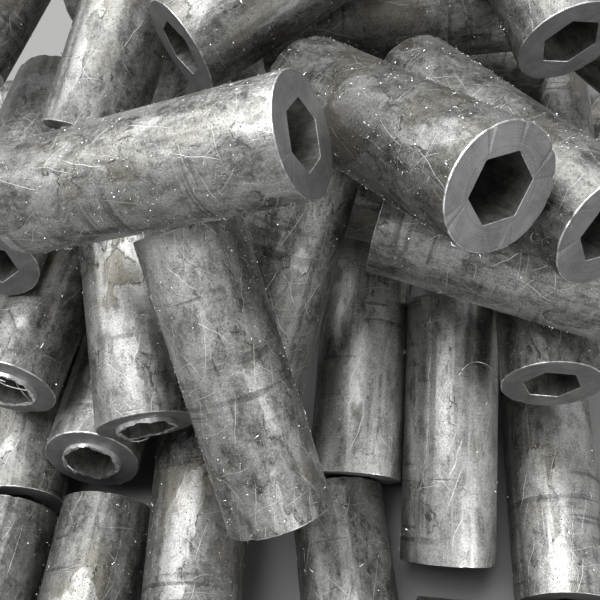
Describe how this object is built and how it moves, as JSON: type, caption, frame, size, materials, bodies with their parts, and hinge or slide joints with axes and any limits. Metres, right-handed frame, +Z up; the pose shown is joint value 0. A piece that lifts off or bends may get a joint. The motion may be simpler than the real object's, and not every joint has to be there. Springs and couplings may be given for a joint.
{
  "type": "heap of cut hexagonal-bore steel tubes",
  "caption": "Loose heap of short thick-walled round steel tubes with hexagonal bores, lying and leaning on one another, some with a parting collar around the bore.",
  "frame": {"origin": "middle of the heap's outline, on the floor under it", "axes": "+Z up from the floor, +Y away from the low front slope to the back, +X to the right seen from the front"},
  "size_m": [0.3552, 0.3992, 0.204],
  "materials": {
    "drawn_steel": "cold-drawn steel with dull drawing residue, worn bright along the tops, fine scratches"
  },
  "bodies": {
    "root": {"front_left_tube": "drawn_steel", "front_corner_tube": "drawn_steel", "front_middle_tube": "drawn_steel", "front_right_tube": "drawn_steel", "low_left_tube": "drawn_steel", "low_parted_tube": "drawn_steel", "low_middle_tube": "drawn_steel", "low_right_tube": "drawn_steel", "low_standing_tube": "drawn_steel", "left_parted_tube": "drawn_steel", "streaked_tube": "drawn_steel", "stub_tube": "drawn_steel", "parted_down_tube": "drawn_steel", "steep_tube": "drawn_steel", "leaning_tube": "drawn_steel", "left_end_tube": "drawn_steel", "back_left_tube": "drawn_steel", "far_left_tube": "drawn_steel", "cross_tube": "drawn_steel", "right_cross_tube": "drawn_steel", "right_back_tube": "drawn_steel", "right_end_tube": "drawn_steel", "back_face_tube": "drawn_steel", "back_right_face_tube": "drawn_steel", "long_top_tube": "drawn_steel", "big_face_tube": "drawn_steel", "floor_tubes": "drawn_steel", "second_layer_tubes": "drawn_steel", "third_layer_tubes": "drawn_steel"}
  },
  "joints": []
}
